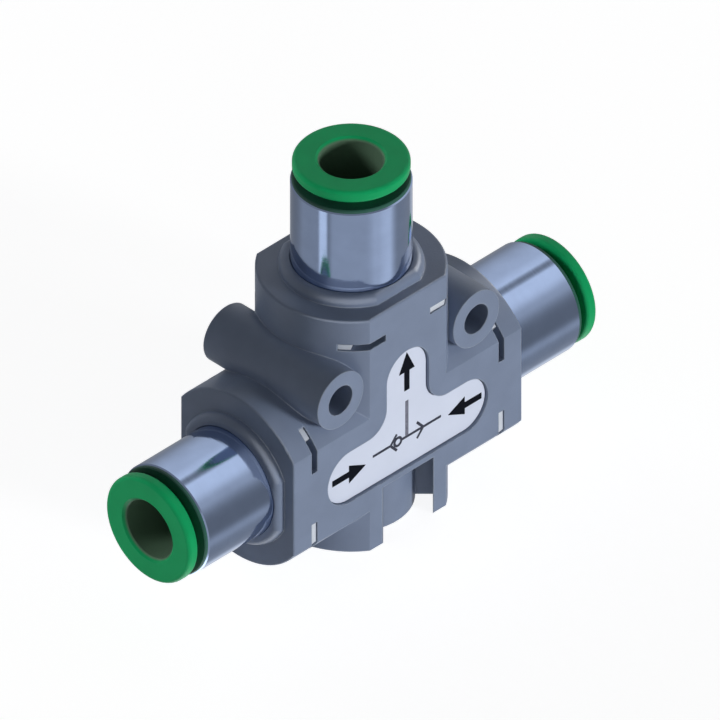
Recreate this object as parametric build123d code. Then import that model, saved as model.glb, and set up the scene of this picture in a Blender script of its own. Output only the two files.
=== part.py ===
"""Pneumatic OR shuttle valve with three push-in ports for 6 mm tube.

Two inlets lie on one axis, left and right, and the outlet stands above them. The moulded
housing is cut from truncated cylinders, so its front and back are flat. Each port holds a
plated sleeve that a flat clip locks in, and the sleeve holds the parts that grip and seal
the tube. Between the inlets a loose shuttle closes the side with the lower pressure.

Millimetres, +Z up, the front (with the label) faces -Y, and the valve stands on its base
at Z = 0. The pieces are worked out about the point where the three port axes meet, and
are lifted by axis_height when they are written.
"""
import os
from math import sqrt, tan, radians

from build123d import *

# Housing: where the three arms end and how thick they are
axis_height = 10.2
arm_length = 15.4
arm_radius = 9.4
neck_length = 17.2
trunk_radius = 9.2
body_thickness = 15.3
end_round = 0.2

# Raised rim round each sleeve at the end of its arm
rim_wall = 1.1
rim_flat_wall = 0.5
rim_height = 1.0
rim_round = 0.8

# Mounting bosses, one each side of the neck, for M3 screws along Y
boss_spacing = 18.3
boss_height = 9.87
boss_radius = 3.1
boss_proud = 0.05
screw_hole_radius = 1.6

# Base: a round groove leaves a hub inside a skirt, opens through both flats and holds four ribs
hub_radius = 6.1
skirt_wall = 0.85
groove_depth = 6.6
groove_bore_wall = 1.0
rib_thickness = 0.8
rib_recess = 0.3

# Label in its pocket on the front
label_width = 21.6
label_bar_height = 6.0
label_stem_width = 5.7
label_stem_top = 11.0
label_inner_round = 2.5
label_thickness = 0.25
label_recess = 0.37
label_gap = 0.08

# Ports: the collars stand proud of the arms, and the clips sit below the arms' ends
tube_diameter = 6.0
tube_clearance = 0.1
inlet_proud = 12.1
outlet_proud = 12.7
inlet_clip_depth = 2.8
outlet_clip_depth = 3.15
outlet_bore_depth = 7.3
flow_radius = 2.1
flow_length = 3.5

# Sleeve
sleeve_radius = 5.86
sleeve_wall = 0.71
sleeve_fit = 0.04
sleeve_edge = 0.25

# Release collar
collar_inset = 0.18
collar_head = 1.3
collar_round = 0.4
collar_lead_in = 0.35
collar_gap = 0.8
collar_stroke = 0.7
collar_bead = 0.45
collar_bead_length = 1.0
collar_bead_clearance = 0.18
collar_slot_width = 0.8
collar_slot_count = 4

# Guide ring: its flange covers the sleeve's end and its lip traps the collar
guide_flange = 0.35
guide_flange_inset = 0.12
guide_flange_edge = 0.1
guide_lip = 1.5
guide_wall = 0.3
slide_clearance = 0.1

# Grab ring: a thin washer whose teeth lean inwards and bite the tube
grab_depth = 5.0
grab_thickness = 0.3
grab_rim = 0.8
grab_lean = 35.0
grab_tip_bite = 0.1
grab_teeth = 10
grab_slot_width = 0.7

# Backup ring and tube seal
teeth_room = 0.325
backup_land = 0.45
seal_tube_gap = 0.03
seal_gap = 0.04

# Seal between sleeve and housing, and the same section round each seat
body_seal_section = 1.06
body_seal_groove = 1.5
body_seal_place = 1.8
body_seal_gap = 0.05

# Retaining clip and its slots in the housing
clip_thickness = 0.65
clip_clearance = 0.05
clip_grip = 0.91
clip_half_width = 7.2
clip_edge_gap = 0.15
clip_surface_gap = 0.2
clip_front_gap = 0.15
clip_opening = 3.15
clip_short_leg = 3.2
clip_short_corner = 6.4
slot_web = 3.0

# Chamber, seats and shuttle
chamber_radius = 4.2
chamber_half_length = 3.5
outlet_passage_radius = 2.2
seat_length = 4.0
seat_lip_radius = 2.7
seat_lip_width = 0.5
seat_lip_height = 0.4
shuttle_length = 4.4
shuttle_radius = 3.3
shuttle_guide_clearance = 0.08
shuttle_fin_width = 0.9
shuttle_fin_count = 4
pad_radius = 2.95
pad_thickness = 0.9
pad_fit = 0.02

# Worked out from the sizes above
half_thickness = body_thickness / 2
bore_radius = sleeve_radius + sleeve_fit
socket_radius = tube_diameter / 2 + tube_clearance
sleeve_bore = sleeve_radius - sleeve_wall
stack_radius = sleeve_bore - pad_fit
guide_radius = stack_radius - guide_wall
barrel_radius = guide_radius - collar_bead_clearance - collar_bead
collar_radius = sleeve_radius - collar_inset
seal_section = stack_radius - tube_diameter / 2 - seal_tube_gap
teeth_slope = tan(radians(grab_lean))
backup_mouth = stack_radius - grab_rim + pad_fit
backup_cone = (backup_mouth - socket_radius) * teeth_slope + teeth_room
clip_groove_radius = sleeve_radius - clip_grip
seal_groove_radius = sleeve_radius - body_seal_section - body_seal_gap + sleeve_fit
groove_radius = trunk_radius - skirt_wall
inlet_bore_floor = chamber_half_length + seat_length
outlet_bore_floor = neck_length - outlet_bore_depth
base_level = -axis_height
cut_margin = 1.0


def turned(*corners):
    """Body of revolution about Z from its (radius, height) corners."""
    profile = make_face(Plane.XZ * Polyline(*corners, close=True))
    return revolve(profile, Axis.Z)


def plug(radius, start, end):
    """Solid cylinder about Z between two heights."""
    return Pos(0, 0, (start + end) / 2) * Cylinder(radius, end - start)


def flatted_bar(radius, thickness, start, end):
    """Round bar about Z with a flat front and back, between two heights."""
    section = Circle(radius) & Rectangle(2 * radius, thickness)
    return extrude(Plane.XY.offset(start) * section, amount=end - start)


def o_ring(outer, section, height):
    """Round-section ring about Z, centred at a height."""
    return Pos(0, 0, height) * Torus(outer - section / 2, section / 2)


def on_port(shape, port):
    """Turn a piece made about Z so that it points out of the named port."""
    if port == "outlet":
        return shape
    right = Rot(0, 90, 0) * shape
    return right if port == "right" else mirror(right, about=Plane.YZ)


class Port:
    """Distances along one port's axis, measured from where the axes meet."""

    def __init__(self, name, body_radius, body_end, proud, clip_depth, inner_end):
        self.name = name
        self.body_radius = body_radius
        self.body_end = body_end
        self.reach = body_end + proud
        self.clip = body_end - clip_depth
        self.mouth = self.reach - collar_head - collar_gap - guide_flange
        self.inner_end = inner_end
        self.tube_stop = inner_end + flow_length
        self.seal = inner_end + body_seal_place


PORTS = [
    Port("left", arm_radius, arm_length, inlet_proud, inlet_clip_depth, inlet_bore_floor),
    Port("right", arm_radius, arm_length, inlet_proud, inlet_clip_depth, inlet_bore_floor),
    Port("outlet", trunk_radius, neck_length, outlet_proud, outlet_clip_depth, outlet_bore_floor),
]
LEFT, RIGHT, OUTLET = PORTS

# Depths below the sleeve's mouth at which the stacked parts sit
stack_grab = grab_depth
stack_backup = stack_grab + grab_thickness
stack_seal = stack_backup + backup_cone + backup_land + seal_gap
stack_floor = stack_seal + seal_section + seal_gap


def label_outline(inset):
    """Inverted T with round ends, drawn smaller by an inset."""
    bar = label_bar_height - 2 * inset
    stem = label_stem_width - 2 * inset
    top = label_stem_top - inset
    outline = SlotOverall(label_width - 2 * inset, bar)
    outline += Pos(0, top / 2) * Rot(0, 0, 90) * SlotOverall(top, stem)
    corner = Vector(stem / 2, bar / 2)
    inner = [v for v in outline.vertices() if (Vector(abs(v.X), v.Y) - corner).length < 0.01]
    return fillet(inner, label_inner_round + inset)


def end_rim(port):
    """Raised rim with a rounded edge, from which the sleeve stands out."""
    start = port.body_end - cut_margin
    flats = 2 * (bore_radius + rim_flat_wall)
    rim = flatted_bar(bore_radius + rim_wall, flats, start, port.body_end + rim_height)
    rim = fillet(rim.edges().group_by(Axis.Z)[-1], rim_round)
    return on_port(rim, port.name)


def bosses(radius, length):
    """Pair of round bars along Y at the mounting holes."""
    bar = Rot(90, 0, 0) * Cylinder(radius, length)
    half = boss_spacing / 2
    return [Pos(side * half, 0, boss_height) * bar for side in (-1, 1)]


def clip_slots(port):
    """Windows for the clip: open at the back, with a web left at the middle of the front."""
    outer = clip_half_width + clip_edge_gap
    deep = body_thickness + 2 * cut_margin
    width = clip_thickness + 2 * clip_clearance
    window = outer - slot_web
    cuts = []
    for side in (-1, 1):
        cuts.append(Pos(side * (slot_web + window / 2), 0, port.clip) * Box(window, deep, width))
    cuts.append(Pos(0, deep / 4, port.clip) * Box(2 * slot_web, deep / 2, width))
    return [on_port(cut, port.name) for cut in cuts]


def base_groove():
    """Groove round the hub: the bores above keep their wall, and the four ribs stay standing."""
    top = base_level + groove_depth
    groove = plug(groove_radius, base_level - cut_margin, top)
    groove -= plug(hub_radius, base_level - 2 * cut_margin, top + cut_margin)
    groove -= Rot(0, 90, 0) * Cylinder(bore_radius + groove_bore_wall, 2 * arm_length)
    for turn in (45, -45):
        rib = Box(3 * groove_radius, rib_thickness, groove_depth)
        groove -= Pos(0, 0, top + rib_recess - groove_depth / 2) * Rot(0, 0, turn) * rib
    return groove


def make_body():
    """Moulded housing with its bores, slots, bosses, label pocket and grooved base."""
    arms = flatted_bar(arm_radius, body_thickness, -arm_length, arm_length)
    layers = arms.edges().group_by(Axis.Z)
    arms = fillet(layers[0] + layers[-1], end_round)
    trunk = flatted_bar(trunk_radius, body_thickness, base_level, neck_length)
    trunk = fillet(trunk.edges().group_by(Axis.Z)[-1], end_round)
    body = Rot(0, 90, 0) * arms + trunk
    for port in PORTS:
        body += end_rim(port)
    body += bosses(boss_radius, body_thickness + 2 * boss_proud)
    for port in (LEFT, RIGHT):
        depth = port.body_end + rim_height + cut_margin
        body -= on_port(plug(bore_radius, chamber_half_length, depth), port.name)
    outlet_depth = OUTLET.body_end + rim_height + cut_margin
    body -= plug(bore_radius, OUTLET.inner_end, outlet_depth)
    body -= plug(outlet_passage_radius, 0, OUTLET.inner_end + cut_margin)
    body -= Rot(0, 90, 0) * Cylinder(chamber_radius, 2 * chamber_half_length + cut_margin)
    body -= bosses(screw_hole_radius, body_thickness + 2 * cut_margin)
    for port in PORTS:
        body -= clip_slots(port)
    body -= base_groove()
    pocket = Plane.XZ.offset(half_thickness) * label_outline(0)
    body -= extrude(pocket, amount=-(label_recess + label_thickness))
    return body


def make_label():
    """Thin plate that lies on the floor of the pocket."""
    floor = half_thickness - label_recess - label_thickness
    outline = Plane.XZ.offset(floor) * label_outline(label_gap)
    return extrude(outline, amount=label_thickness)


def make_sleeve(port):
    """Turned sleeve: stack bore, tube socket, flow hole, clip groove and seal groove."""
    top = port.mouth
    low = port.inner_end
    e = sleeve_edge
    half_clip = clip_thickness / 2 + clip_clearance
    half_seal = body_seal_groove / 2
    return turned(
        (sleeve_bore + e, top),
        (sleeve_radius - e / 2, top),
        (sleeve_radius, top - e / 2),
        (sleeve_radius, port.clip + half_clip),
        (clip_groove_radius, port.clip + half_clip),
        (clip_groove_radius, port.clip - half_clip),
        (sleeve_radius, port.clip - half_clip),
        (sleeve_radius, port.seal + half_seal),
        (seal_groove_radius, port.seal + half_seal),
        (seal_groove_radius, port.seal - half_seal),
        (sleeve_radius, port.seal - half_seal),
        (sleeve_radius, low + e),
        (sleeve_radius - e, low),
        (flow_radius, low),
        (flow_radius, port.tube_stop),
        (socket_radius, port.tube_stop),
        (socket_radius, top - stack_floor),
        (sleeve_bore, top - stack_floor),
        (sleeve_bore, top - e),
    )


def make_collar(port):
    """Release collar: head, barrel with a trapped bead, and slots that let it snap in."""
    face = port.reach
    under = face - collar_head
    bore = socket_radius
    barrel = barrel_radius
    lip_end = port.mouth - guide_lip
    bead_top = lip_end - slide_clearance
    nose_radius = (bore + barrel) / 2
    reach_of_teeth = (stack_radius - grab_rim - nose_radius) * teeth_slope
    nose = port.mouth - (stack_grab + reach_of_teeth - collar_stroke - slide_clearance)
    collar = turned(
        (bore + collar_lead_in, face),
        (collar_radius, face),
        (collar_radius, under),
        (barrel, under),
        (barrel, bead_top),
        (barrel + collar_bead, bead_top),
        (barrel + collar_bead, bead_top - collar_bead_length / 2),
        (barrel, bead_top - collar_bead_length),
        (nose_radius, nose),
        (bore, nose - (nose_radius - bore) * teeth_slope),
        (bore, face - collar_lead_in),
    )
    head_edge = (barrel + collar_bead + collar_radius) / 2
    rim = [edge for edge in collar.edges().filter_by(GeomType.CIRCLE) if edge.radius > head_edge]
    collar = fillet(rim, collar_round)
    slot_low = nose - cut_margin
    slot = Pos(barrel, 0, (lip_end + slot_low) / 2) * Box(2 * barrel, collar_slot_width, lip_end - slot_low)
    for number in range(collar_slot_count):
        collar -= Rot(0, 0, number * 360 / collar_slot_count) * slot
    return collar


def make_guide(port):
    """Ring pressed into the mouth: flange, lip, and a skirt that holds the grab ring."""
    top = port.mouth + guide_flange
    low = port.mouth - stack_grab
    lip = barrel_radius + slide_clearance
    lip_end = port.mouth - guide_lip
    rim = sleeve_radius - guide_flange_inset
    return turned(
        (lip, top),
        (rim - guide_flange_edge, top),
        (rim, top - guide_flange_edge),
        (rim, port.mouth),
        (stack_radius, port.mouth),
        (stack_radius, low),
        (guide_radius, low),
        (guide_radius, lip_end),
        (lip, lip_end),
    )


def make_grab_ring(port):
    """Toothed washer: a flat rim and teeth that lean inwards to the tube."""
    top = port.mouth - stack_grab
    low = top - grab_thickness
    rim = stack_radius - grab_rim
    tip = tube_diameter / 2 - grab_tip_bite
    drop = (rim - tip) * teeth_slope
    ring = turned(
        (rim, top), (stack_radius, top), (stack_radius, low), (rim, low), (tip, low - drop), (tip, top - drop)
    )
    gap = Pos((rim + tip) / 2, 0, low) * Box(rim - tip + grab_slot_width, grab_slot_width, 4 * drop)
    for number in range(grab_teeth):
        ring -= Rot(0, 0, number * 360 / grab_teeth) * gap
    return ring


def make_backup(port):
    """Ring behind the teeth, coned inside to leave them room, that the tube seal rests on."""
    top = port.mouth - stack_backup
    low = top - backup_cone - backup_land
    return turned(
        (backup_mouth, top),
        (stack_radius, top),
        (stack_radius, low),
        (socket_radius, low),
        (socket_radius, low + backup_land),
    )


def make_tube_seal(port):
    """Round-section seal that the tube passes through."""
    middle = port.mouth - stack_seal - seal_section / 2
    return o_ring(stack_radius, seal_section, middle)


def make_body_seal(port):
    """Round-section seal in the sleeve's groove, against the housing."""
    return o_ring(bore_radius - sleeve_fit / 2, body_seal_section, port.seal)


def make_clip(port):
    """Flat spring clip: a horseshoe pushed in from the back, with one leg left longer."""
    reach = half_thickness - clip_surface_gap
    front = half_thickness - clip_front_gap
    outer = port.body_radius - clip_surface_gap
    wide = 2 * port.body_radius
    plate = Circle(outer) & Rectangle(2 * clip_half_width, wide)
    plate &= Pos(0, (reach - front) / 2) * Rectangle(wide, reach + front)
    plate -= Circle(clip_groove_radius + clip_clearance)
    plate -= Pos(0, -wide / 2) * Rectangle(2 * clip_opening, wide)
    root = -(half_thickness - clip_short_leg)
    corner = -sqrt(outer ** 2 - clip_short_corner ** 2)
    short = Polyline(
        (0, root),
        (-clip_opening, root),
        (-clip_short_corner, corner),
        (-clip_short_corner, -wide),
        (0, -wide),
        close=True,
    )
    plate -= make_face(short)
    return extrude(Plane.XY.offset(port.clip - clip_thickness / 2) * plate, amount=clip_thickness)


def make_seat(port):
    """Seat ring between chamber and sleeve, with a raised lip that the shuttle closes on."""
    start = chamber_half_length
    end = port.inner_end
    middle = (start + end) / 2
    half_seal = body_seal_groove / 2
    lip_top = start - seat_lip_height
    return turned(
        (flow_radius, lip_top),
        (seat_lip_radius, lip_top),
        (seat_lip_radius + seat_lip_width / 2, start),
        (sleeve_radius, start),
        (sleeve_radius, middle - half_seal),
        (seal_groove_radius, middle - half_seal),
        (seal_groove_radius, middle + half_seal),
        (sleeve_radius, middle + half_seal),
        (sleeve_radius, end),
        (flow_radius, end),
    )


def make_seat_seal(port):
    """Seal round the seat ring."""
    middle = (chamber_half_length + port.inner_end) / 2
    return o_ring(bore_radius - sleeve_fit / 2, body_seal_section, middle)


def shuttle_rest():
    """Place of the shuttle's middle when it lies on the left seat."""
    seat_face = chamber_half_length - seat_lip_height
    return -(seat_face - shuttle_length / 2)


def make_shuttle():
    """Shuttle core: a fluted spool with a pocket for a rubber pad in each end."""
    half = shuttle_length / 2
    core = Cylinder(shuttle_radius, shuttle_length)
    fin_tip = chamber_radius - shuttle_guide_clearance
    for number in range(shuttle_fin_count):
        turn = (number + 0.5) * 360 / shuttle_fin_count
        fin = Pos(fin_tip / 2, 0, 0) * Box(fin_tip, shuttle_fin_width, shuttle_length)
        core += Rot(0, 0, turn) * fin
    core &= Cylinder(fin_tip, shuttle_length)
    for side in (-1, 1):
        core -= Pos(0, 0, side * (half - pad_thickness / 2)) * Cylinder(pad_radius + pad_fit, pad_thickness)
    return Pos(shuttle_rest(), 0, 0) * Rot(0, 90, 0) * core


def make_pad(side):
    """Rubber pad in one end of the shuttle."""
    place = shuttle_rest() + side * (shuttle_length - pad_thickness) / 2
    return Pos(place, 0, 0) * Rot(0, 90, 0) * Cylinder(pad_radius, pad_thickness)


def write(name, shape):
    """Write one piece, lifted so that the base stands at Z = 0."""
    export_step(Pos(0, 0, axis_height) * shape, os.path.join("parts", name + ".step"))


def main():
    os.makedirs("parts", exist_ok=True)
    write("body", make_body())
    write("label", make_label())
    write("shuttle", make_shuttle())
    write("shuttle_pad_left", make_pad(-1))
    write("shuttle_pad_right", make_pad(1))
    makers = {
        "sleeve": make_sleeve,
        "release_collar": make_collar,
        "guide_ring": make_guide,
        "grab_ring": make_grab_ring,
        "backup_ring": make_backup,
        "tube_seal": make_tube_seal,
        "sleeve_seal": make_body_seal,
        "retaining_clip": make_clip,
    }
    for port in PORTS:
        for name, maker in makers.items():
            write(port.name + "_" + name, on_port(maker(port), port.name))
    for port in (LEFT, RIGHT):
        write(port.name + "_seat", on_port(make_seat(port), port.name))
        write(port.name + "_seat_seal", on_port(make_seat_seal(port), port.name))


main()
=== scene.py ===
"""Looks of the shuttle valve: materials, the print on its label, studio light and the camera."""
import math

import bpy
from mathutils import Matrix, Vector


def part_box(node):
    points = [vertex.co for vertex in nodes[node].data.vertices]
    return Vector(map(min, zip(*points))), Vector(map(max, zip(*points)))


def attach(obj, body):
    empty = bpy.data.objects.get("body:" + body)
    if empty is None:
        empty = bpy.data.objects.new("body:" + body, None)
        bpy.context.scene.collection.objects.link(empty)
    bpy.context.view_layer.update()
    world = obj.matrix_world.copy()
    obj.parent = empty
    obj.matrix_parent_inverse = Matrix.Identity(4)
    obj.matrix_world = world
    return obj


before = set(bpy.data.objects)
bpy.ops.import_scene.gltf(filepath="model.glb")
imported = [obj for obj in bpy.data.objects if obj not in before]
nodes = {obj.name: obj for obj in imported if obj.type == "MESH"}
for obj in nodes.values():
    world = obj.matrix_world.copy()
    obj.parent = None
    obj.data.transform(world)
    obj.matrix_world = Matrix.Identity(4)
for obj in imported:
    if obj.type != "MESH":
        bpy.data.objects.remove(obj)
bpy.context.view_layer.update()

MM = 0.001
PORTS = ("left", "right", "outlet")
COLLARS = tuple(port + "_release_collar" for port in PORTS)

# Levels taken from the frame: the height where the port axes cross, and the label's front face
axis_height = sum(corner.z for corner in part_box("left_sleeve")) / 2
label_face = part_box("label")[0].y

# Camera: a parallel view from the front left and above, with lengths in metres
VIEW_DIRECTION = Vector((0.566, 0.566, -0.600)).normalized()
VIEW_RIGHT = Vector((1, -1, 0)).normalized()
VIEW_WIDTH = 68.65 * MM
VIEW_AIM_RIGHT = 0.83 * MM
VIEW_AIM_UP = 4.61 * MM
CAMERA_DISTANCE = 0.4
CLIP_START = 0.01
CLIP_END = 10.0

# Linear colours of the plastics, rubbers and metals
HOUSING_COLOUR = (0.176, 0.220, 0.318)
GREEN_COLOUR = (0.006, 0.335, 0.112)
# Painted shade for the wall of a collar's bore, in place of its green
PAINTED_BORE_SHADE = (0.11, 0.19, 0.125)
GUIDE_COLOUR = (0.022, 0.10, 0.072)
LABEL_COLOUR = (0.62, 0.67, 0.80)
RUBBER_COLOUR = (0.018, 0.018, 0.018)
SHUTTLE_COLOUR = (0.60, 0.60, 0.56)
NICKEL_COLOUR = (0.46, 0.57, 0.82)
CLIP_COLOUR = (0.82, 0.87, 0.95)
SPRING_COLOUR = (0.58, 0.59, 0.60)
BRASS_COLOUR = (0.60, 0.44, 0.20)

# The print: its linear colours and matt finish, the features per millimetre of its uneven ink,
# and the darkest and lightest share of the colour
BLACK_PRINT = (0.003, 0.004, 0.008)
DARK_PRINT = (0.050, 0.053, 0.075)
GREY_PRINT = (0.16, 0.165, 0.21)
PRINT_ROUGHNESS = 0.5
PRINT_SPECULAR = 0.06
PRINT_GRAIN = 3.0
PRINT_SHADE = (0.85, 1.2)

# Most noise lies between these values
NOISE_LOW = 0.3
NOISE_HIGH = 0.7

# Detail levels of fine noise, and the rays that soften an edge
FINE_DETAIL = 3.0
BEVEL_SAMPLES = 6

# Plastic: features per millimetre of its slow change of colour, and how far roughness varies
PLASTIC_CLOUDS = 0.35
PLASTIC_UNEVEN = 0.05

# Metal: features per millimetre of its slow change of colour, the darkest and lightest share of
# the colour, and how far roughness falls and rises
METAL_CLOUDS = 0.5
METAL_SHADE = (0.96, 1.03)
METAL_BRIGHTER = 0.02
METAL_DULLER = 0.03

# Turning marks: features per millimetre along the axis, the scale that draws them out round it,
# and their depth in millimetres
MARK_GRAIN = 6.0
MARK_STRETCH = 0.06
MARK_DEPTH = 0.0015

# Painted highlight along the edges of the housing: its colour, its share at a sharp edge, its width
# in millimetres, and the cosines of the softening's turn where the change starts and where it is full
EDGE_HIGHLIGHT_COLOUR = (0.36, 0.42, 0.52)
EDGE_SHARE = 0.5
EDGE_REACH = 0.22
EDGE_START = 0.995
EDGE_FULL = 0.84

# Collars: radii in millimetres between which the painted shade on the wall of the bore gives way
# to the green, and the specular level
BORE_WALL_RADIUS = 3.12
BORE_EDGE_RADIUS = 3.32
COLLAR_SPECULAR = 0.18

# Print on the label, in millimetres from the crossing of the port axes
PRINT_SHIFT = 0.2
ARROW_LENGTH = 4.5
ARROW_HEAD = 2.25
ARROW_HALF_HEAD = 1.05
ARROW_HALF_TAIL = 0.35
INLET_ARROW_TAIL = 10.05
OUTLET_ARROW_TAIL = 5.95
LINE_WIDTH = 0.28
STEM_WIDTH = 0.4
LEAD_REACH = 4.45
LEAD_LEVEL = 0.42
STEM_TOP = 4.7
SEAT_MARK = 2.2
SEAT_DEPTH = 0.75
SEAT_SPREAD = 0.85
BALL_RADIUS = 0.46
PRINT_THICKNESS = 0.03

# Sides of a printed ring
RING_SIDES = 40

# Studio that the gloss mirrors, each card laid over those before it: azimuth from the right inlet
# towards the back, elevation, half-angles of its full and faded edges, and brightness
STUDIO_TINT = (0.93, 0.96, 1.0)
STUDIO_LEVEL = 0.25
STUDIO = (
    ("bounce card at the front left", 230, -25, 35, 45, 0.45),
    ("wide gap at the back left", 135, -35, 15, 45, 0.35),
    ("narrow strip in that gap", 170, -35, 4, 9, 0.90),
    ("gap at the back", 95, -20, 0, 30, 0.20),
    ("bounce card low at the front", 305, -55, 5, 40, 0.80),
    ("gap low at the right", 340, -40, 10, 30, 0.30),
    ("bounce card low at the back right", 35, -45, 0, 25, 0.80),
    ("gap at the back right", 40, -5, 10, 45, 0.30),
    ("large soft box at the right", 15, 35, 5, 60, 0.70),
    ("soft box at the front", 310, 15, 5, 30, 0.55),
    ("gap under the front soft box", 315, -5, 5, 35, 0.20),
    ("soft box high at the right", 345, 50, 10, 35, 0.90),
    ("gap in the high soft box", 0, 60, 0, 10, 0.20),
    ("lit floor behind the valve", 40, -70, 5, 20, 1.60),
    ("lit floor under the valve", 250, -85, 10, 35, 2.20),
)

# Even light from all round, and the white that the camera sees
AMBIENT_TINT = (0.95, 0.97, 1.0)
AMBIENT_LEVEL = 0.12
WHITE = (1, 1, 1)

# Lamps: azimuth and elevation as in the studio, level, spread in degrees, the pieces that the lamp
# lights (all where none is named), and whether it gives gloss in place of colour. At level 1 a
# surface that faces a colour lamp renders in its colour as written.
LAMPS = (
    ("key", 285, 5, 0.79, 12, (), False),
    ("fill", 230, 20, 0.03, 20, (), False),
    ("back", 85, 2, 0.50, 40, (), False),
    ("collar_fill", 145, 29, 0.43, 20, COLLARS, False),
    ("edge", 226, 24, 1.05, 84, ("body",), True),
    ("rim", 5, 36, 0.55, 30, ("body",), True),
)

# Floor: the gap in millimetres keeps its face out of the plane of the base, and the half-width is
# in metres. Its glow lights the valve from below, and the added glow is for the camera alone.
FLOOR_GAP = 0.02
FLOOR_HALF_WIDTH = 3.0
FLOOR_COLOUR = (0.5, 0.5, 0.5)
FLOOR_GLOW = 0.28
FLOOR_ADDED_GLOW = 0.59


def tree_of(owner):
    """Node tree of a material or world, emptied."""
    owner.use_nodes = True
    tree = owner.node_tree
    tree.nodes.clear()
    return tree


def node(tree, kind, **settings):
    """New node with its properties set."""
    made = tree.nodes.new(kind)
    for name, value in settings.items():
        setattr(made, name, value)
    return made


def noise(tree, place, scale, detail=2.0):
    """Noise whose scale is given in features per millimetre."""
    made = node(tree, "ShaderNodeTexNoise")
    made.inputs["Scale"].default_value = scale / MM
    made.inputs["Detail"].default_value = detail
    tree.links.new(place, made.inputs["Vector"])
    return made.outputs["Fac"]


def mapped(tree, value, low, high):
    """Noise carried from its usual reach to low..high."""
    made = node(tree, "ShaderNodeMapRange")
    made.inputs["From Min"].default_value = NOISE_LOW
    made.inputs["From Max"].default_value = NOISE_HIGH
    made.inputs["To Min"].default_value = low
    made.inputs["To Max"].default_value = high
    tree.links.new(value, made.inputs["Value"])
    return made.outputs["Result"]


def smooth_step(tree, value, start, end):
    """Node that gives 0 before start and 1 past end, with a smooth change between them."""
    made = node(tree, "ShaderNodeMapRange", interpolation_type="SMOOTHSTEP")
    made.inputs["From Min"].default_value = start
    made.inputs["From Max"].default_value = end
    tree.links.new(value, made.inputs["Value"])
    return made


def tinted(tree, colour, amount):
    """Colour made lighter and darker by an amount that varies over the surface."""
    made = node(tree, "ShaderNodeVectorMath", operation="SCALE")
    made.inputs[0].default_value = colour
    tree.links.new(amount, made.inputs["Scale"])
    return made.outputs["Vector"]


def start_material(name):
    """Material with a principled shader, and its texture place in the object's frame."""
    made = bpy.data.materials.new(name)
    tree = tree_of(made)
    shader = node(tree, "ShaderNodeBsdfPrincipled")
    out = node(tree, "ShaderNodeOutputMaterial")
    tree.links.new(shader.outputs["BSDF"], out.inputs["Surface"])
    place = node(tree, "ShaderNodeTexCoord").outputs["Object"]
    return made, tree, shader, place


def shader_of(material):
    """Principled shader of a material, and the socket that feeds its colour."""
    shader = next(found for found in material.node_tree.nodes if found.type == "BSDF_PRINCIPLED")
    return shader, shader.inputs["Base Color"].links[0].from_socket


def softened_normal(tree, reach):
    """Normal with the edges softened over a reach in millimetres."""
    bevel = node(tree, "ShaderNodeBevel", samples=BEVEL_SAMPLES)
    bevel.inputs["Radius"].default_value = reach * MM
    return bevel.outputs["Normal"]


def add_bump(tree, shader, height, depth, edge=0.0):
    """Bump of a given depth in millimetres, over edges softened by a small radius."""
    bump = node(tree, "ShaderNodeBump")
    bump.inputs["Strength"].default_value = 1.0
    bump.inputs["Distance"].default_value = depth * MM
    tree.links.new(height, bump.inputs["Height"])
    if edge:
        tree.links.new(softened_normal(tree, edge), bump.inputs["Normal"])
    tree.links.new(bump.outputs["Normal"], shader.inputs["Normal"])


def plastic(name, colour, roughness, grain, depth, edge=0.0, variation=0.05):
    """Moulded plastic or rubber: slow colour variation, uneven sheen and a fine grain."""
    made, tree, shader, place = start_material(name)
    slow = noise(tree, place, PLASTIC_CLOUDS)
    fine = noise(tree, place, grain, FINE_DETAIL)
    shade = mapped(tree, slow, 1 - variation, 1 + variation)
    tree.links.new(tinted(tree, colour, shade), shader.inputs["Base Color"])
    sheen = mapped(tree, fine, roughness - PLASTIC_UNEVEN, roughness + PLASTIC_UNEVEN)
    tree.links.new(sheen, shader.inputs["Roughness"])
    add_bump(tree, shader, fine, depth, edge)
    return made


def housing_plastic():
    """Satin moulding with a painted highlight that makes its edges a little lighter."""
    made = plastic("housing_resin", HOUSING_COLOUR, roughness=0.36, grain=5.0, depth=0.012, edge=0.2)
    tree = made.node_tree
    shader, plain = shader_of(made)
    turn = node(tree, "ShaderNodeVectorMath", operation="DOT_PRODUCT")
    tree.links.new(softened_normal(tree, EDGE_REACH), turn.inputs[0])
    tree.links.new(node(tree, "ShaderNodeNewGeometry").outputs["Normal"], turn.inputs[1])
    # Painted highlight: lighter where the softened normal turns from the true one, that is at the edges
    edge_highlight = smooth_step(tree, turn.outputs["Value"], EDGE_START, EDGE_FULL)
    edge_highlight.inputs["To Max"].default_value = EDGE_SHARE
    mix = node(tree, "ShaderNodeMix", data_type="RGBA")
    tree.links.new(edge_highlight.outputs["Result"], mix.inputs["Factor"])
    tree.links.new(plain, mix.inputs["A"])
    mix.inputs["B"].default_value = (*EDGE_HIGHLIGHT_COLOUR, 1)
    tree.links.new(mix.outputs["Result"], shader.inputs["Base Color"])
    return made


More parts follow.
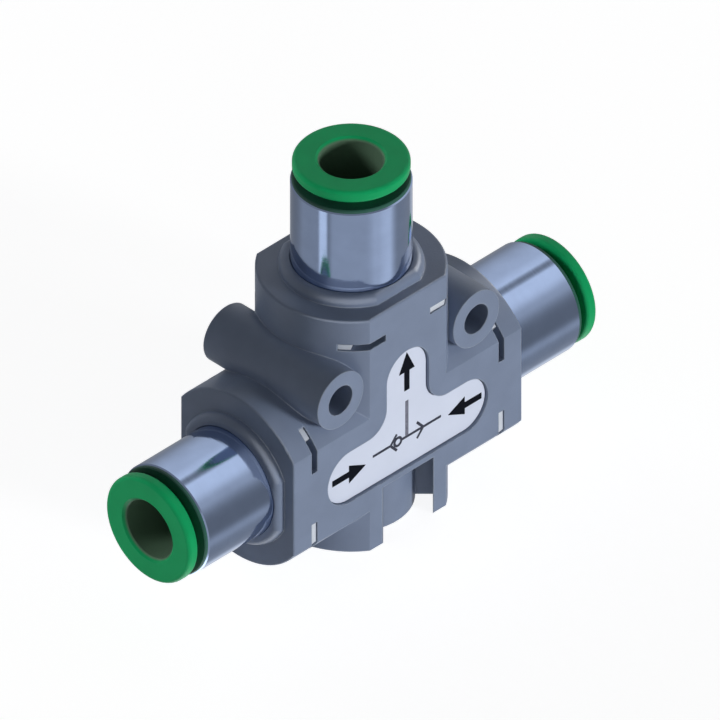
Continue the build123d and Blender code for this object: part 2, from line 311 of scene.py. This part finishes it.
def collar_green(name, port):
    """Green moulding of a collar, with shade painted darker on the wall of its bore."""
    made = plastic(name, GREEN_COLOUR, roughness=0.36, grain=4.0, depth=0.003, edge=0.1, variation=0.06)
    tree = made.node_tree
    shader, green = shader_of(made)
    shader.inputs["Specular IOR Level"].default_value = COLLAR_SPECULAR
    upright = port == "outlet"
    place = node(tree, "ShaderNodeTexCoord").outputs["Object"]
    offset = node(tree, "ShaderNodeVectorMath", operation="SUBTRACT")
    offset.inputs[1].default_value = (0, 0, 0 if upright else axis_height)
    tree.links.new(place, offset.inputs[0])
    across = node(tree, "ShaderNodeVectorMath", operation="MULTIPLY")
    across.inputs[1].default_value = (1, 1, 0) if upright else (0, 1, 1)
    tree.links.new(offset.outputs["Vector"], across.inputs[0])
    radius = node(tree, "ShaderNodeVectorMath", operation="LENGTH")
    tree.links.new(across.outputs["Vector"], radius.inputs[0])
    # Painted shade: inside these radii the bore wall takes the dark colour in place of the green
    edge = smooth_step(tree, radius.outputs["Value"], BORE_WALL_RADIUS * MM, BORE_EDGE_RADIUS * MM)
    mix = node(tree, "ShaderNodeMix", data_type="RGBA")
    tree.links.new(edge.outputs["Result"], mix.inputs["Factor"])
    mix.inputs["A"].default_value = (*PAINTED_BORE_SHADE, 1)
    tree.links.new(green, mix.inputs["B"])
    tree.links.new(mix.outputs["Result"], shader.inputs["Base Color"])
    return made


def metal(name, colour, roughness, along, metallic=1.0):
    """Turned or stamped metal: fine marks drawn out round the given axis, and uneven polish."""
    made, tree, shader, place = start_material(name)
    shader.inputs["Metallic"].default_value = metallic
    stretch = node(tree, "ShaderNodeMapping")
    stretch.inputs["Scale"].default_value = [1.0 if axis == along else MARK_STRETCH for axis in "XYZ"]
    tree.links.new(place, stretch.inputs["Vector"])
    marks = noise(tree, stretch.outputs["Vector"], MARK_GRAIN, FINE_DETAIL)
    slow = noise(tree, place, METAL_CLOUDS)
    shade = mapped(tree, slow, *METAL_SHADE)
    tree.links.new(tinted(tree, colour, shade), shader.inputs["Base Color"])
    polish = mapped(tree, marks, roughness - METAL_BRIGHTER, roughness + METAL_DULLER)
    tree.links.new(polish, shader.inputs["Roughness"])
    add_bump(tree, shader, marks, MARK_DEPTH)
    return made


def flat_print(name, colour):
    """Screen print: nearly flat colour with slightly uneven ink."""
    made, tree, shader, place = start_material(name)
    ink = mapped(tree, noise(tree, place, PRINT_GRAIN), *PRINT_SHADE)
    tree.links.new(tinted(tree, colour, ink), shader.inputs["Base Color"])
    shader.inputs["Roughness"].default_value = PRINT_ROUGHNESS
    shader.inputs["Specular IOR Level"].default_value = PRINT_SPECULAR
    return made


def dress(name, material):
    """Give a CAD node its material."""
    mesh = nodes[name].data
    mesh.materials.clear()
    mesh.materials.append(material)


def dress_nodes():
    """Material of every CAD node."""
    body = housing_plastic()
    label = plastic("label_white", LABEL_COLOUR, roughness=0.5, grain=3.0, depth=0.002, variation=0.015)
    guide = plastic("guide_resin", GUIDE_COLOUR, roughness=0.45, grain=5.0, depth=0.004)
    rubber = plastic("seal_rubber", RUBBER_COLOUR, roughness=0.6, grain=4.0, depth=0.004)
    shuttle = plastic("shuttle_resin", SHUTTLE_COLOUR, roughness=0.4, grain=5.0, depth=0.004, edge=0.08)
    clip = metal("clip_steel", CLIP_COLOUR, roughness=0.38, along="X", metallic=0.45)
    spring = metal("spring_steel", SPRING_COLOUR, roughness=0.25, along="X")
    brass = metal("seat_brass", BRASS_COLOUR, roughness=0.25, along="X")
    nickel_x = metal("nickel_x", NICKEL_COLOUR, roughness=0.09, along="X")
    nickel_z = metal("nickel_z", NICKEL_COLOUR, roughness=0.09, along="Z")
    dress("body", body)
    dress("label", label)
    dress("shuttle", shuttle)
    for port in PORTS:
        dress(port + "_sleeve", nickel_z if port == "outlet" else nickel_x)
        dress(port + "_release_collar", collar_green("release_green_" + port, port))
        dress(port + "_guide_ring", guide)
        dress(port + "_backup_ring", guide)
        dress(port + "_grab_ring", spring)
        dress(port + "_tube_seal", rubber)
        dress(port + "_sleeve_seal", rubber)
        dress(port + "_retaining_clip", clip)
    for side in ("left", "right"):
        dress(side + "_seat", brass)
        dress(side + "_seat_seal", rubber)
        dress("shuttle_pad_" + side, rubber)


def add_mesh(name, spots, faces):
    """New object from corners in metres and faces."""
    mesh = bpy.data.meshes.new(name)
    mesh.from_pydata(spots, [], faces)
    mesh.update()
    made = bpy.data.objects.new(name, mesh)
    bpy.context.collection.objects.link(made)
    return made


def on_label(outline):
    """Corners of a print's front and back, from (x, z) in millimetres from the port axes."""
    front = label_face - PRINT_THICKNESS * MM
    return [
        ((x + PRINT_SHIFT) * MM, y, axis_height + z * MM) for y in (front, label_face) for x, z in outline
    ]


def prism(outline):
    """Closed plate on the label's face."""
    count = len(outline)
    faces = [tuple(range(count)), tuple(range(2 * count - 1, count - 1, -1))]
    for i in range(count):
        j = (i + 1) % count
        faces.append((i, i + count, j + count, j))
    return add_mesh("plate", on_label(outline), faces)


def turned(outline, quarter_turns):
    """Outline turned clockwise about the origin by quarter turns."""
    for _ in range(quarter_turns):
        outline = [(z, -x) for x, z in outline]
    return outline


def arrow(name, tail, quarter_turns, material):
    """Printed arrow; before it is turned it points up and its tail is at a height."""
    neck = tail + ARROW_LENGTH - ARROW_HEAD
    outline = [
        (-ARROW_HALF_TAIL, tail),
        (ARROW_HALF_TAIL, tail),
        (ARROW_HALF_TAIL, neck),
        (ARROW_HALF_HEAD, neck),
        (0, tail + ARROW_LENGTH),
        (-ARROW_HALF_HEAD, neck),
        (-ARROW_HALF_TAIL, neck),
    ]
    made = prism(turned(outline, quarter_turns))
    made.name = name
    made.data.materials.append(material)
    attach(made, "housing")


def stroke(start, end):
    """Plate along a line between two points, with square ends a little beyond them."""
    a = Vector(start)
    b = Vector(end)
    along = (b - a).normalized() * LINE_WIDTH / 2
    side = Vector((-along.y, along.x))
    corners = [a - along - side, b + along - side, b + along + side, a - along + side]
    return prism([tuple(corner) for corner in corners])


def ring(centre, radius):
    """Flat ring on the label's face, as an outer and an inner loop."""
    loops = []
    for r in (radius + LINE_WIDTH / 2, radius - LINE_WIDTH / 2):
        for i in range(RING_SIDES):
            a = 2 * math.pi * i / RING_SIDES
            loops.append((centre[0] + r * math.cos(a), centre[1] + r * math.sin(a)))
    outer, inner, outer_back, inner_back = (loop * RING_SIDES for loop in range(4))
    faces = []
    for i in range(RING_SIDES):
        j = (i + 1) % RING_SIDES
        faces.append((outer + i, outer + j, inner + j, inner + i))
        faces.append((inner_back + i, inner_back + j, outer_back + j, outer_back + i))
        faces.append((outer_back + i, outer_back + j, outer + j, outer + i))
        faces.append((inner + i, inner + j, inner_back + j, inner_back + i))
    return add_mesh("ring", on_label(loops), faces)


def unite(parts):
    """One closed mesh of overlapping plates."""
    first = parts[0]
    for other in parts[1:]:
        joiner = first.modifiers.new("join", "BOOLEAN")
        joiner.operation = "UNION"
        joiner.solver = "EXACT"
        joiner.object = other
        bpy.context.view_layer.update()
        joined = first.evaluated_get(bpy.context.evaluated_depsgraph_get())
        done = bpy.data.meshes.new_from_object(joined)
        first.modifiers.clear()
        first.data = done
        bpy.data.objects.remove(other)
    return first


def print_symbol(dark, grey):
    """Symbol of a shuttle valve: two leads with seats, a ball on one of them, and the outlet."""
    level = LEAD_LEVEL
    # The ball touches both lines of the left seat
    lean = SEAT_SPREAD / math.hypot(SEAT_DEPTH, SEAT_SPREAD)
    ball = -SEAT_MARK + (BALL_RADIUS + LINE_WIDTH) / lean
    parts = [
        stroke((-LEAD_REACH, level), (-SEAT_MARK, level)),
        stroke((ball + BALL_RADIUS, level), (LEAD_REACH, level)),
        ring((ball, level), BALL_RADIUS),
    ]
    for side in (-1, 1):
        point = side * SEAT_MARK
        for up in (-1, 1):
            parts.append(stroke((point, level), (point - side * SEAT_DEPTH, level + up * SEAT_SPREAD)))
    symbol = unite(parts)
    symbol.data.materials.clear()
    half = STEM_WIDTH / 2
    foot = level + LINE_WIDTH / 2
    stem = prism([(-half, foot), (half, foot), (half, STEM_TOP), (-half, STEM_TOP)])
    for made, name, material in ((symbol, "print_symbol", dark), (stem, "print_stem", grey)):
        made.name = name
        made.data.materials.append(material)
        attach(made, "housing")


def add_print():
    """Everything printed on the label."""
    black = flat_print("print_black", BLACK_PRINT)
    arrow("print_arrow_outlet", OUTLET_ARROW_TAIL, 0, black)
    arrow("print_arrow_left", -INLET_ARROW_TAIL, 1, black)
    arrow("print_arrow_right", -INLET_ARROW_TAIL, 3, black)
    print_symbol(flat_print("print_dark", DARK_PRINT), flat_print("print_grey", GREY_PRINT))


def add_camera():
    """Parallel camera at the photograph's angle."""
    data = bpy.data.cameras.new("camera")
    data.type = "ORTHO"
    data.ortho_scale = VIEW_WIDTH
    data.clip_start = CLIP_START
    data.clip_end = CLIP_END
    camera = bpy.data.objects.new("camera", data)
    bpy.context.collection.objects.link(camera)
    up = VIEW_RIGHT.cross(VIEW_DIRECTION)
    aim = Vector((0, 0, axis_height)) + VIEW_RIGHT * VIEW_AIM_RIGHT + up * VIEW_AIM_UP
    camera.location = aim - VIEW_DIRECTION * CAMERA_DISTANCE
    camera.rotation_mode = "QUATERNION"
    camera.rotation_quaternion = VIEW_DIRECTION.to_track_quat("-Z", "Y")
    bpy.context.scene.camera = camera


def towards(azimuth, elevation):
    """Direction from the valve at an azimuth and an elevation in degrees."""
    a, e = math.radians(azimuth), math.radians(elevation)
    return Vector((math.cos(a) * math.cos(e), math.sin(a) * math.cos(e), math.sin(e)))


def add_sun(name, azimuth, elevation, level, spread, lit, gloss):
    """Soft distant lamp, for colour or for gloss, on the pieces in lit or else on all."""
    data = bpy.data.lights.new(name, "SUN")
    data.energy = level * math.pi
    data.angle = math.radians(spread)
    lamp = bpy.data.objects.new(name, data)
    bpy.context.collection.objects.link(lamp)
    lamp.rotation_mode = "QUATERNION"
    lamp.rotation_quaternion = towards(azimuth, elevation).to_track_quat("Z", "Y")
    lamp.visible_glossy = gloss
    lamp.visible_diffuse = not gloss
    if lit:
        chosen = bpy.data.collections.new(name + "_lit")
        for piece in lit:
            chosen.objects.link(nodes[piece])
        lamp.light_linking.receiver_collection = chosen


def lobe(tree, direction, azimuth, elevation, inner, outer):
    """Node that gives 1 in a cone of directions and fades to 0 between two half-angles in degrees."""
    dot = node(tree, "ShaderNodeVectorMath", operation="DOT_PRODUCT")
    dot.inputs[1].default_value = towards(azimuth, elevation)
    tree.links.new(direction, dot.inputs[0])
    start = math.cos(math.radians(outer))
    end = math.cos(math.radians(inner))
    return smooth_step(tree, dot.outputs["Value"], start, end)


def studio_level(tree):
    """Brightness of the studio by direction, with its cards and gaps laid over each other."""
    direction = node(tree, "ShaderNodeTexCoord").outputs["Generated"]
    below = None
    for name, azimuth, elevation, inner, outer, value in STUDIO:
        shape = lobe(tree, direction, azimuth, elevation, inner, outer)
        shape.label = name
        over = node(tree, "ShaderNodeMix", data_type="FLOAT")
        tree.links.new(shape.outputs["Result"], over.inputs["Factor"])
        if below is None:
            over.inputs["A"].default_value = STUDIO_LEVEL
        else:
            tree.links.new(below, over.inputs["A"])
        over.inputs["B"].default_value = value
        below = over.outputs["Result"]
    return below


def background(tree, tint, level=1.0):
    """Background of an even tint and level."""
    made = node(tree, "ShaderNodeBackground")
    made.inputs["Color"].default_value = (*tint, 1)
    made.inputs["Strength"].default_value = level
    return made


def chosen_by(tree, test, otherwise, shader):
    """The shader where the test is 1, and the other one where it is 0."""
    made = node(tree, "ShaderNodeMixShader")
    tree.links.new(test, made.inputs["Fac"])
    tree.links.new(otherwise, made.inputs[1])
    tree.links.new(shader, made.inputs[2])
    return made.outputs["Shader"]


def make_world():
    """White to the camera, soft grey to the surfaces, and a studio with soft boxes to gloss."""
    world = bpy.data.worlds.new("studio")
    bpy.context.scene.world = world
    tree = tree_of(world)
    path = node(tree, "ShaderNodeLightPath")
    gloss = background(tree, STUDIO_TINT)
    tree.links.new(studio_level(tree), gloss.inputs["Strength"])
    ambient = background(tree, AMBIENT_TINT, AMBIENT_LEVEL)
    white = background(tree, WHITE)
    glossy = path.outputs["Is Glossy Ray"]
    lit = chosen_by(tree, glossy, ambient.outputs["Background"], gloss.outputs["Background"])
    seen = node(tree, "ShaderNodeMath", operation="MAXIMUM")
    tree.links.new(path.outputs["Is Camera Ray"], seen.inputs[0])
    tree.links.new(path.outputs["Is Transmission Ray"], seen.inputs[1])
    surface = chosen_by(tree, seen.outputs["Value"], lit, white.outputs["Background"])
    out = node(tree, "ShaderNodeOutputWorld")
    tree.links.new(surface, out.inputs["Surface"])


def floor_material():
    """Pale matt floor with a glow that is brighter to the camera."""
    made = bpy.data.materials.new("floor")
    tree = tree_of(made)
    diffuse = node(tree, "ShaderNodeBsdfDiffuse")
    diffuse.inputs["Color"].default_value = (*FLOOR_COLOUR, 1)
    glow = node(tree, "ShaderNodeEmission")
    glow.inputs["Color"].default_value = (*WHITE, 1)
    path = node(tree, "ShaderNodeLightPath")
    level = node(tree, "ShaderNodeMath", operation="MULTIPLY_ADD")
    level.inputs[1].default_value = FLOOR_ADDED_GLOW
    level.inputs[2].default_value = FLOOR_GLOW
    tree.links.new(path.outputs["Is Camera Ray"], level.inputs[0])
    tree.links.new(level.outputs["Value"], glow.inputs["Strength"])
    both = node(tree, "ShaderNodeAddShader")
    tree.links.new(diffuse.outputs["BSDF"], both.inputs[0])
    tree.links.new(glow.outputs["Emission"], both.inputs[1])
    out = node(tree, "ShaderNodeOutputMaterial")
    tree.links.new(both.outputs["Shader"], out.inputs["Surface"])
    return made


def add_floor():
    """Pale floor under the valve: white to the camera, with the soft shadow kept."""
    half = FLOOR_HALF_WIDTH
    low = -FLOOR_GAP * MM
    corners = [(-half, -half, low), (half, -half, low), (half, half, low), (-half, half, low)]
    floor = add_mesh("floor", corners, [(0, 1, 2, 3)])
    floor.visible_glossy = False
    floor.data.materials.append(floor_material())


dress_nodes()
add_print()
add_camera()
make_world()
add_floor()
for lamp_row in LAMPS:
    add_sun(*lamp_row)
bpy.context.scene.view_settings.view_transform = "Standard"
